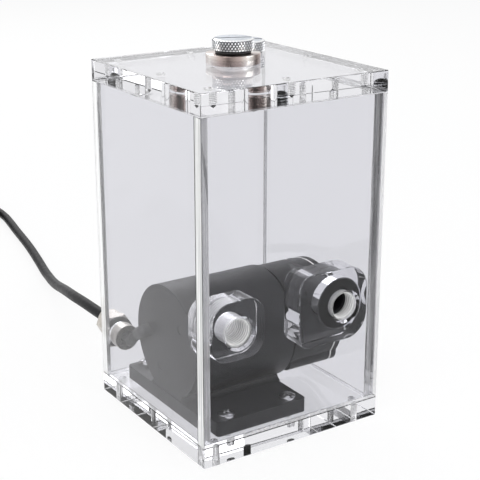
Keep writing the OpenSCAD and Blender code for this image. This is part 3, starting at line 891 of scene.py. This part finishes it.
@dataclass
class Studio:
    """The camera, the lamps, the white surroundings and the floor."""

    place: Vector = field(default_factory=lambda: Vector((-276.8, -426.0, 251.2)) * MM)
    heading: float = 33.197
    down: float = 18.527
    lens: float = 88.69

    def camera(self) -> None:
        """Adds the camera, to the front left of the tank and a little above it."""
        data = bpy.data.cameras.new("camera")
        data.lens = self.lens
        data.sensor_width = 36.0
        obj = put("camera", data)
        obj.location = self.place
        obj.rotation_euler = (math.radians(90 - self.down), 0.0, math.radians(-self.heading))
        bpy.context.scene.camera = obj

    def lamp(self, name: str, place: tuple[float, float, float], size: float, power: float) -> None:
        """Adds a soft square lamp that looks at the tank.

        Args:
            name: The lamp's name.
            place: Where it hangs.
            size: The side of its square.
            power: Its power in watts.
        """
        data = bpy.data.lights.new(name, "AREA")
        data.size = size
        data.energy = power
        obj = put(name, data)
        obj.location = place
        aim = Vector((0.0, 0.0, 0.08)) - Vector(place)
        obj.rotation_euler = aim.to_track_quat("-Z", "Y").to_euler()

    def surroundings(self, ambient: float = 0.62) -> None:
        """Makes the white surroundings that the camera, metal and acrylic see.

        Args:
            ambient: The strength with which the surroundings light the object.
        """
        world = bpy.data.worlds.new("surroundings")
        bpy.context.scene.world = world
        world.use_nodes = True
        tree = world.node_tree
        tree.nodes.clear()
        output = tree.nodes.new("ShaderNodeOutputWorld")
        mix = tree.nodes.new("ShaderNodeMixShader")
        tree.links.new(self.sees_white(tree), mix.inputs["Fac"])
        for place, colour, strength in ((1, (0.97, 0.98, 1.0, 1.0), ambient), (2, (1.0, 1.0, 1.0, 1.0), 1.0)):
            light = tree.nodes.new("ShaderNodeBackground")
            light.inputs["Color"].default_value = colour
            light.inputs["Strength"].default_value = strength
            tree.links.new(light.outputs[0], mix.inputs[place])
        tree.links.new(mix.outputs[0], output.inputs["Surface"])

    @staticmethod
    def sees_white(tree: bpy.types.NodeTree) -> Socket:
        """Picks the rays that see the plain white background.

        Args:
            tree: The node tree to add to.

        Returns:
            1 for camera, glossy and transmission rays, and 0 for others.
        """
        path = tree.nodes.new("ShaderNodeLightPath")
        value = path.outputs["Is Camera Ray"]
        for name in ("Is Glossy Ray", "Is Transmission Ray"):
            pick = tree.nodes.new("ShaderNodeMath")
            pick.operation = "MAXIMUM"
            tree.links.new(value, pick.inputs[0])
            tree.links.new(path.outputs[name], pick.inputs[1])
            value = pick.outputs[0]
        return value

    def floor(self, shown: float = 0.86) -> None:
        """Lays the pale floor, which keeps a faint shadow of the object.

        Args:
            shown: The share of plain white that the camera sees on it.
        """
        bm = bmesh.new()
        bmesh.ops.create_grid(bm, x_segments=1, y_segments=1, size=4.0)
        bmesh.ops.translate(bm, vec=(0, 0, -0.0004), verts=bm.verts)
        obj = put("floor", to_mesh(bm, "floor"))
        n = Nodes("floor")
        scale = n.add("Math", operation="MULTIPLY")
        scale.inputs[1].default_value = shown
        n.join(self.sees_white(n.tree), scale.inputs[0])
        n.mix(scale.outputs[0], n.plain("BsdfDiffuse", (0.9, 0.9, 0.9)), n.plain("Emission", (1.0, 1.0, 1.0)))
        obj.data.materials.append(n.material)

    def build(self) -> None:
        """Builds the whole studio."""
        self.camera()
        self.surroundings()
        self.floor()
        self.lamp("key", (-0.9, -0.5, 1.1), 0.7, 9.0)
        self.lamp("fill", (0.9, -0.9, 0.8), 0.9, 5.0)
        self.lamp("back", (0.3, 1.1, 0.9), 0.8, 5.0)
        bpy.context.scene.view_settings.view_transform = "Standard"


# ------------------------------------------------------------------ cords


@dataclass
class Cables:
    """The lead inside the tank and the outside cable with its coil and plug."""

    jacket: Material
    diameter: float = 5.5 * MM
    lead_diameter: float = 5.2 * MM
    coil_centre: Vector = field(default_factory=lambda: Vector((-13.5, 358.0, 0.0)) * MM)
    coil_radius: float = 33.5 * MM
    floor_height: float = 2.8 * MM

    LEAD = [
        (-3.3, 17.0, 10.1), (-3.3, 19.5, 8.6), (-3.2, 22.0, 6.8), (-2.9, 24.5, 4.8), (-2.4, 27.0, 2.8),
        (-1.5, 29.5, 1.3), (-0.5, 32.5, 0.3), (0.0, 35.5, 0.0), (0.0, 50.0, 0.0), (0.0, 62.0, 0.0),
    ]
    START = [
        (0.0, 62.0, 0.0), (0.0, 68.0, 0.0), (0.0, 76.0, -0.1), (0.5, 86.0, -0.6), (1.6, 97.0, -1.8),
    ]
    ROUTE = [
        (-31.5, 110, 25), (-28, 124, 21.8), (-24, 138, 18), (-20, 152, 14), (-16, 166, 10.2),
        (-12, 180, 7), (-8, 194, 4.6), (-4.5, 208, 3.2), (-1, 222, 2.8), (2.2, 236, 2.8),
        (5.3, 250, 2.8), (8.1, 264, 2.8), (10.8, 279, 2.8), (13.4, 294, 2.8), (16.4, 310, 2.8),
        (18.9, 325, 2.8), (20, 338.4, 2.8),
    ]
    TAIL = [
        (-47, 338.2, 7.5), (-47, 331, 6.1), (-47, 324, 4.4), (-47, 317.5, 3.1), (-47, 313, 2.8),
        (-47, 310, 2.8),
    ]

    def winding(self, degrees: float) -> Vector:
        """Gives a place on the coil.

        The first turn lies outside on the floor, the second inside it, the third on the second, and
        the last half turn on the first.

        Args:
            degrees: How far round the coil, from where the cable joins it.

        Returns:
            The place.
        """
        def ramp(start: float) -> float:
            """Rises smoothly from 0 to 1 over the quarter turn after start."""
            t = min(1.0, max(0.0, (degrees - start) / 90.0))
            return t * t * (3 - 2 * t)

        inward = ramp(270) - ramp(990)
        upward = ramp(630)
        radius = self.coil_radius - self.diameter * inward
        a = math.radians(degrees)
        height = self.floor_height + self.diameter * upward
        return self.coil_centre + Vector((radius * math.cos(a), radius * math.sin(a), height))

    @staticmethod
    def from_gland(points: Sequence[tuple[float, float, float]]) -> list[Vector]:
        """Places points that are given sideways and upwards from the gland's axis.

        Args:
            points: The points in millimetres, with Y from the tank's middle.

        Returns:
            The places.
        """
        axis = middle("gland_cap")
        return [Vector((axis.x, 0.0, axis.z)) + Vector(p) * MM for p in points]

    def outside_line(self) -> list[Vector]:
        """Gives the middle line of the whole outside cable.

        Returns:
            The line's points.
        """
        turns = [self.winding(15.0 * k) for k in range(0, 85)]
        route = smooth_line([*self.from_gland(self.START), *[Vector(p) * MM for p in self.ROUTE]])
        tail = smooth_line([turns[-1], *[Vector(p) * MM for p in self.TAIL]])
        return [*route, *turns[:-1], *tail]

    def build(self) -> None:
        lead = smooth_line(self.from_gland(self.LEAD))
        wire("lead", lead, self.lead_diameter / 2, self.jacket, ("inner_lead",))
        line = self.outside_line()
        obj = wire("cable", line, self.diameter / 2, self.jacket,
                   ("power_cable", "cable_coil", "cable_tail"))


# ------------------------------------------------------------------ the tank


def middle(node: str) -> Vector:
    """Gives the middle of a solid.

    Args:
        node: The solid's name.

    Returns:
        The middle of its box.
    """
    low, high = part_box(node)
    return (low + high) / 2


def mount(frame: dict, name: str) -> dict:
    """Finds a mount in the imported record.

    Args:
        frame: The loaded frame.
        name: The mount's name.

    Returns:
        The mount.
    """
    return next(m for m in frame["record"]["mounts"] if m["name"] == name)


@dataclass
class Tank:
    """The six plates of the tank, the port blocks, and the threads and holes cut into them."""

    frame: dict
    acrylic: Material
    cut_face: Material
    sawn_face: Material
    glue: Material
    lap: float = 0.06 * MM
    sink: float = 0.04 * MM
    edge: float = 0.35 * MM
    block_edge: float = 0.5 * MM
    over: float = 1.0 * MM
    panel_cut: float = 8.0 * MM
    block_cut: float = 20.0 * MM
    port_mouth: float = 1.12 * MM
    port_thread: float = 0.86 * MM
    port_run_out: float = 0.8 * MM
    screw_pitch: float = 0.7 * MM
    screw_thread: float = 0.28 * MM
    screw_run_out: float = 0.3 * MM
    threaded_depth: float = 6.2 * MM
    drilled_depth: float = 6.5 * MM
    drill_tip: float = 0.58
    gland_hole_r: float = 6.15 * MM
    collar_hole_r: float = 8.38 * MM
    counterbore_r: float = 12.1 * MM
    inlet_radii: tuple[float, float] = (8.5 * MM, 8.5 * MM)
    outlet_radii: tuple[float, float] = (6.0 * MM, 11.0 * MM)

    def plate(self, node: str, laps: Sequence[int], cutters: Sequence[Mesh] = (),
              sawn: Sequence[int] = (), sink: float = 0.0) -> None:
        """Makes one plate, which laps its neighbours by a hair so that the joints stay clear.

        Args:
            node: The plate's name.
            laps: The axes along which it laps its neighbours.
            cutters: The holes to cut.
            sawn: The axes whose end faces are sawn and not polished.
            sink: How far the plate's top lies under the solid's, as an air gap under what stands on it.
        """
        low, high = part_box(node)
        high.z -= sink
        for axis in laps:
            low[axis] -= self.lap
            high[axis] += self.lap
        mesh = box_mesh(low, high, self.edge)
        if cutters:
            mesh = carve(mesh, cutters)

        def is_sawn(polygon: Polygon) -> bool:
            """Tells whether a face is one of the sawn end faces."""
            return any(abs(polygon.normal[axis]) > 0.99
                       and not low[axis] + self.edge < polygon.center[axis] < high[axis] - self.edge
                       for axis in sawn)

        Piece(node + "_clear", mesh, self.acrylic, "tank", Slot.ACRYLIC, (node,), FLAT_ANGLE,
              self.sawn_face, is_sawn).place()

    def seams(self) -> None:
        """Lays the thin white veils of glue in the joints between the plates."""
        left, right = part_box("left_panel"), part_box("right_panel")
        floor, top = left[0].z, left[1].z
        bm = bmesh.new()
        for side in (left, right):
            for y in (left[0].y, left[1].y):
                corners = [(0, floor), (1, floor), (1, top), (0, top)]
                bm.faces.new([bm.verts.new((side[end].x, y, z)) for end, z in corners])
        front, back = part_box("front_panel"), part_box("back_panel")
        for z in (floor, top):
            rim = [(front[0].x, front[0].y), (front[1].x, front[0].y), (front[1].x, back[1].y),
                   (front[0].x, back[1].y)]
            hole = [(left[1].x, left[0].y), (right[0].x, left[0].y), (right[0].x, left[1].y),
                    (left[1].x, left[1].y)]
            for k in range(4):
                m = (k + 1) % 4
                bm.faces.new([bm.verts.new((*spot, z)) for spot in (rim[k], rim[m], hole[m], hole[k])])
        mesh = bpy.data.meshes.new("seams")
        bm.to_mesh(mesh)
        bm.free()
        Piece("glue_seams", mesh, self.glue, "tank", Slot.ACRYLIC).place()

    def drill(self, place: Matrix, radius: float) -> Mesh:
        """Makes the shape of a drilled blind hole.

        Args:
            place: The hole's mouth, with Z into the plate.
            radius: The hole's radius.

        Returns:
            The closed shape.
        """
        depth = self.drilled_depth
        profile = [(0.0, -self.over), (radius, -self.over), (radius, depth),
                   (0.0, depth + radius * self.drill_tip)]
        return lathe_mesh(profile, place, 32, closed=False)

    def small_holes(self, top: bool, name: str) -> list[Mesh]:
        """Makes the cut threads of the small mounting holes and gives the cutters.

        Args:
            top: Whether to make the lid's holes or the bottom plate's.
            name: The piece's name.

        Returns:
            The closed shapes to cut out of the plate.
        """
        pattern = mount(self.frame, "lid_corner_holes" if top else "base_holes")
        centre = Vector(pattern["pos_m"])
        step = pattern["dims"]["spacing_x_mm"] * MM / 2
        radius = pattern["dims"]["hole_r_mm"] * MM
        spots = [(x, y) for x in (-1, 0, 1) for y in (-1, 0, 1)]
        wanted = [s for s in spots if abs(s[0]) + abs(s[1]) == 2 or (top and abs(s[0]) + abs(s[1]) == 1)]
        axis = "-Z" if top else "+Z"
        places = [along(axis, centre + Vector((x * step, y * step, 0.0))) for x, y in wanted]
        sleeve = Thread(radius - self.screw_thread, radius - 0.02 * MM, radius + 0.03 * MM, self.screw_pitch,
                        self.threaded_depth, self.screw_run_out, 24, 4)
        Piece(name, join_meshes(sleeve.mesh(place) for place in places), self.cut_face, "tank",
              Slot.BLOCK).place()
        return [self.drill(place, radius) for place in places]

    def port_hole(self, port: str) -> tuple[Vector, float]:
        """Gives a port's place and radius."""
        data = mount(self.frame, port)
        return Vector(data["pos_m"]), data["dims"]["r_mm"] * MM

    def port(self, name: str, inner_y: float) -> Mesh:
        """Makes a port's thread and gives the shape of its hole in the panel.

        Args:
            name: The port's mount.
            inner_y: Where the thread ends inside the tank.

        Returns:
            The closed shape to cut out of the front panel.
        """
        place, radius = self.port_hole(name)
        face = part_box("front_panel")[0].y
        at = Vector((place.x, face, place.z))
        mouth = self.port_mouth
        sleeve = Thread(radius - self.port_thread, radius - 0.02 * MM, radius + 0.04 * MM, PIPE_PITCH,
                        inner_y - face - mouth, self.port_run_out, 96, 8)
        Piece(name + "_thread", sleeve.mesh(along("+Y", at + Vector((0, mouth, 0)))), self.cut_face, "tank",
              Slot.BLOCK).place()
        profile = [(0.0, -self.over), (radius + mouth + self.over, -self.over), (radius, mouth),
                   (radius, self.panel_cut), (0.0, self.panel_cut)]
        return lathe_mesh(profile, along("+Y", at), 96, closed=False)

    def block(self, node: str, port: str, radii: tuple[float, float], counterbore: float = 0.0,
              depth: float = 0.0) -> None:
        """Makes a port's rounded block.

        Args:
            node: The block's name.
            port: The port's mount.
            radii: The corner radii on the left and on the right.
            counterbore: The radius of the counterbore from behind, if any.
            depth: The counterbore's depth.
        """
        low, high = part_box(node)
        centre = (low + high) / 2
        place, radius = self.port_hole(port)
        outline = rounded_outline(high.x - low.x, high.z - low.z, radii)
        start = along("-Y", Vector((centre.x, high.y, centre.z)))
        mesh = prism_mesh(outline, high.y - low.y + self.lap, start, self.block_edge)
        axis = along("-Y", Vector((place.x, high.y, place.z)))
        cutters = [bore_mesh(radius, -self.over, self.block_cut, axis)]
        if counterbore:
            cutters.append(bore_mesh(counterbore, -self.over, depth, axis))
        Piece(node + "_clear", carve(mesh, cutters), self.acrylic, "tank", Slot.BLOCK, (node,),
              FLAT_ANGLE).place()

    def build(self) -> None:
        """Builds the tank."""
        block_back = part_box("inlet_block")[1].y
        spigot_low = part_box("outlet_spigot")[0]
        in_hole = self.port("inlet_port", block_back)
        out_hole = self.port("outlet_port", spigot_low.y)
        self.plate("front_panel", [2], [in_hole, out_hole], [0])
        gland = middle("gland_body")
        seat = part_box("back_panel")[0].y
        gland_hole = bore_mesh(self.gland_hole_r, -self.over, self.panel_cut,
                               along("+Y", Vector((gland.x, seat, gland.z))), 64)
        self.plate("back_panel", [2], [gland_hole], [0])
        self.plate("left_panel", [1, 2])
        self.plate("right_panel", [1, 2])
        collar_hole = self.lid_hole("fill_collar", self.collar_hole_r)
        vent_hole = self.lid_hole("vent_plug", PLUG_BORE)
        self.plate("lid_plate", [], [collar_hole, vent_hole, *self.small_holes(True, "lid_hole_threads")])
        self.plate("bottom_plate", [], self.small_holes(False, "base_hole_threads"), sink=self.sink)
        self.seams()
        self.block("inlet_block", "inlet_port", self.inlet_radii)
        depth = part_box("outlet_block")[1].y - spigot_low.y
        self.block("outlet_block", "outlet_port", self.outlet_radii, self.counterbore_r, depth)

    def lid_hole(self, node: str, radius: float) -> Mesh:
        """Gives the shape of a hole through the lid.

        Args:
            node: The piece that sits in the hole.
            radius: The hole's radius.

        Returns:
            The closed shape.
        """
        low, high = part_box("lid_plate")
        centre = middle(node)
        return bore_mesh(radius, -self.over, high.z - low.z + self.over,
                         along("+Z", Vector((centre.x, centre.y, low.z))))


# ------------------------------------------------------------------ lid fittings


@dataclass
class Collar:
    """The turned fill collar in the lid, with its outer thread."""

    metal: Material
    shank: float = 8.33 * MM
    thread: float = 0.85 * MM
    run_out: float = 0.5 * MM
    chamfer: float = 0.35 * MM
    bore_chamfer: float = 0.6 * MM

    def build(self) -> None:
        """Builds the collar."""
        low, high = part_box("fill_collar")
        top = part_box("lid_plate")[1].z
        centre = Vector(((low.x + high.x) / 2, (low.y + high.y) / 2, top))
        r = (high.x - low.x) / 2
        h = high.z - top
        c, b = self.chamfer, self.bore_chamfer
        profile = [(PLUG_BORE, 0.0), (self.shank, 0.0), (r - c, 0.0), (r - 0.3 * c, 0.3 * c), (r, c),
                   (r, h - c), (r - 0.3 * c, h - 0.3 * c), (r - c, h), (PLUG_BORE + b, h), (PLUG_BORE, h - b)]
        flange = lathe_mesh(profile, along("+Z", centre), 128)
        thread = Thread(self.shank, self.shank - self.thread, PLUG_BORE, PIPE_PITCH, top - low.z,
                        self.run_out, 96, 8)
        shaft = thread.mesh(along("+Z", Vector((centre.x, centre.y, low.z))))
        Piece("collar", join_meshes([flange, shaft]), self.metal, "tank", Slot.NICKEL,
              ("fill_collar",)).place()


@dataclass
class Plug:
    """A coin-slotted plug with a diamond knurl and a threaded shank."""

    node: str
    body: str
    seat: str
    knurl: Material
    face: Material
    teeth: int = 40
    rows: float = 2.0
    depth: float = 0.42 * MM
    chamfer: float = 0.5 * MM
    seal_gap: float = 1.4 * MM
    slot_depth: float = 1.3 * MM
    slot_width: float = 1.4 * MM
    slot_turn: float = -22.0
    shank: float = 6.53 * MM
    hollow: float = 4.55 * MM
    thread: float = 0.8 * MM
    run_out: float = 0.7 * MM

    def head_radius(self, a: float, t: float, r: float) -> tuple[float, float]:
        """Gives the knurl's radius at a place.

        Args:
            a: The angle around the axis.
            t: The height up the band, from 0 to 1.
            r: The radius over the teeth.

        Returns:
            The radius, and how deep the place lies in a groove, from 0 to 1.
        """
        turn = a / (2 * math.pi) * self.teeth
        lift = t * self.rows
        first = abs(((turn + lift) % 1.0) * 2 - 1)
        second = abs(((turn - lift) % 1.0) * 2 - 1)
        deep = min(1.0, 1.25 * max(first, second) ** 2.0)
        return r - self.depth * deep, deep

    def head(self, centre: Vector, r: float, low: float, high: float) -> Mesh:
        """Makes the knurled head.

        Args:
            centre: The middle of the plug's axis.
            r: The head's radius.
            low: The height of its underside.
            high: The height of its top.

        Returns:
            The mesh, with the groove's depth as the attribute depth.
        """
        around, rows = self.teeth * 8, 26
        foot = [(1.1, 0.0, low), (0.75, 0.1, low)]
        crown = [(0.55, 0.15, high - self.chamfer * 0.75), (0.95, 0.0, high - 0.1 * MM), (1.1, 0.0, high)]
        bm = bmesh.new()
        layer = bm.verts.layers.float.new("depth")

        def ring(radius: Callable[[float], tuple[float, float]], z: float) -> list[Vert]:
            """Adds the points around the head at one height."""
            verts = []
            for k in range(around):
                a = 2 * math.pi * k / around
                q, deep = radius(a)
                vert = bm.verts.new((centre.x + q * math.cos(a), centre.y + q * math.sin(a), z))
                vert[layer] = deep
                verts.append(vert)
            return verts

        def plain(steps: list[tuple[float, float, float]]) -> list[list[Vert]]:
            """Adds round rings, each given by its inset in millimetres, its depth and its height."""
            return [ring(lambda a, inset=inset, deep=deep: (r - inset * MM, deep), z)
                    for inset, deep, z in steps]

        rings = plain(foot)
        for j in range(rows + 1):
            t = j / rows
            z = low + 0.3 * MM + (high - low - 0.3 * MM - self.chamfer) * t
            rings.append(ring(lambda a, t=t: self.head_radius(a, t, r), z))
        rings += plain(crown)
        for here, there in zip(rings, rings[1:]):
            for k in range(around):
                m = (k + 1) % around
                bm.faces.new([here[k], here[m], there[m], there[k]])
        bm.faces.new(rings[-1])
        bm.faces.new(rings[0])
        return to_mesh(bm)

    def build(self) -> None:
        """Builds the plug."""
        low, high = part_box(self.node)
        centre = Vector(((low.x + high.x) / 2, (low.y + high.y) / 2, 0.0))
        r = (high.x - low.x) / 2
        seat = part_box(self.seat)[1].z
        base = seat + self.seal_gap
        top = high.z
        half = self.slot_width / 2
        groove = box_mesh(Vector((centre.x - 2 * r, centre.y - half, top - self.slot_depth)),
                          Vector((centre.x + 2 * r, centre.y + half, top + MM)))
        turn = Matrix.Translation(centre) @ Matrix.Rotation(math.radians(self.slot_turn), 4, "Z")
        groove.transform(turn @ Matrix.Translation(-centre))
        head = carve(self.head(centre, r, base, top), [groove])
        thread = Thread(self.shank, self.shank - self.thread, self.hollow, PIPE_PITCH, base - low.z,
                        self.run_out, 96, 8)
        shaft = thread.mesh(along("+Z", Vector((centre.x, centre.y, low.z))))

        def is_face(polygon: Polygon) -> bool:
            """Tells whether a face is part of the turned top or the slot."""
            flat = abs(polygon.normal.z) > 0.9 and polygon.center.z > top - 0.2 * MM
            inside = (polygon.center - centre).xy.length < r - 1.2 * MM and polygon.center.z > top - 2 * MM
            return flat or inside

        Piece(self.node + "_knurled", join_meshes([head, shaft]), self.knurl, self.body, Slot.KNURL,
              (self.node,), 25.0, self.face, is_face).place()


# ------------------------------------------------------------------ carried-over solids


@dataclass
class Finishes:
    """Gives every carried-over solid its finish."""

    frame: dict
    by_node: dict[str, Material]

    def build(self) -> None:
        """Assigns the materials."""
        for node, material in self.by_node.items():
            obj = self.frame["nodes"][node]
            obj.data.materials.clear()
            obj.data.materials.append(material)
            LOG.info("%s: finish %s", node, material.name)


def main() -> None:
    """Builds the scene, and logs the faces of each piece and the length of each cord."""
    logging.basicConfig(level=logging.INFO)
    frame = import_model()

    jacket = Moulded("cable_jacket", (0.008, 0.008, 0.009), 0.42, 0.08, 900.0, specular=0.12).build()
    Studio().build()
    Cables(jacket).build()

    acrylic = Acrylic("clear_acrylic").build()
    # The cut threads carry painted shade: their grooves turn mostly clear.
    cut_face = Frosted("cut_acrylic_painted_groove_shade").build()
    sawn_face = Cloudy("sawn_acrylic", 0.7).build()
    glue = Cloudy("glued_acrylic", 0.35).build()
    Tank(frame, acrylic, cut_face, sawn_face, glue).build()

    collar_at = middle("fill_collar")
    # The collar's nickel carries painted reflections, as bands around its axis.
    nickel = NickelPaintedReflections("nickel_painted_reflections", (collar_at.x, collar_at.y)).build()
    Collar(nickel).build()
    # The knurl's grooves carry painted shade.
    knurl = Knurled("bright_knurl_painted_shade").build()
    plug_top = Metal("plug_top", (0.36, 0.4, 0.46), (0.5, 0.54, 0.6), 0.2, 0.1).build()
    Plug("fill_plug", "fill_plug", "fill_collar", knurl, plug_top).build()
    Plug("vent_plug", "vent_plug", "lid_plate", knurl, plug_top).build()

    rubber = Moulded("seal_rubber", (0.015, 0.015, 0.016), 0.5, 0.1).build()
    housing = Moulded("housing_plastic", (0.014, 0.014, 0.016), 0.4, 0.05, 1500.0, 0.3, 0.25).build()
    head = Moulded("head_plastic", (0.01, 0.01, 0.012), 0.42, 0.05, 1500.0, 0.2, 0.25).build()
    white = Moulded("gasket_white", (0.75, 0.75, 0.73), 0.5, 0.1).build()
    steel = Metal("screw_steel", (0.8, 0.8, 0.8), (0.6, 0.6, 0.62), 0.18).build()
    lamination = Metal("stator_steel", (0.4, 0.4, 0.42), (0.3, 0.3, 0.32), 0.35).build()
    copper = Metal("coil_copper", (0.6, 0.28, 0.12), (0.45, 0.18, 0.07), 0.3).build()
    board = Moulded("board_green", (0.02, 0.12, 0.05), 0.3, 0.05).build()
    ceramic = Moulded("ceramic", (0.85, 0.84, 0.8), 0.2, 0.02).build()
    magnet = Moulded("magnet", (0.05, 0.05, 0.055), 0.5, 0.2).build()
    gland = Metal("gland_nickel", (0.66, 0.63, 0.59), (0.5, 0.47, 0.43), 0.28, 0.15).build()
    boot = Moulded("boot_rubber", (0.03, 0.03, 0.031), 0.5, 0.1).build()
    nylon = Moulded("plug_nylon", (0.02, 0.02, 0.02), 0.4, 0.1).build()
    Finishes(frame, {
        "collar_seal": rubber, "fill_plug_seal": rubber, "vent_plug_seal": rubber, "outlet_seal": rubber,
        "gland_seal": rubber, "gland_bush": rubber,
        "motor_housing": housing, "end_cap": housing,
        "pump_head": head, "front_cover": head, "impeller": head, "isolation_can": head,
        "outlet_spigot": head,
        "head_gasket": white, "foot_screws": steel, "cover_screws": steel,
        "stator_core": lamination, "stator_coils": copper, "controller_board": board,
        "pump_shaft": ceramic, "rotor_magnet": magnet,
        "gland_body": gland, "gland_cap": gland, "lead_boot": boot, "cable_plug": nylon,
    }).build()


if __name__ == "__main__":
    main()
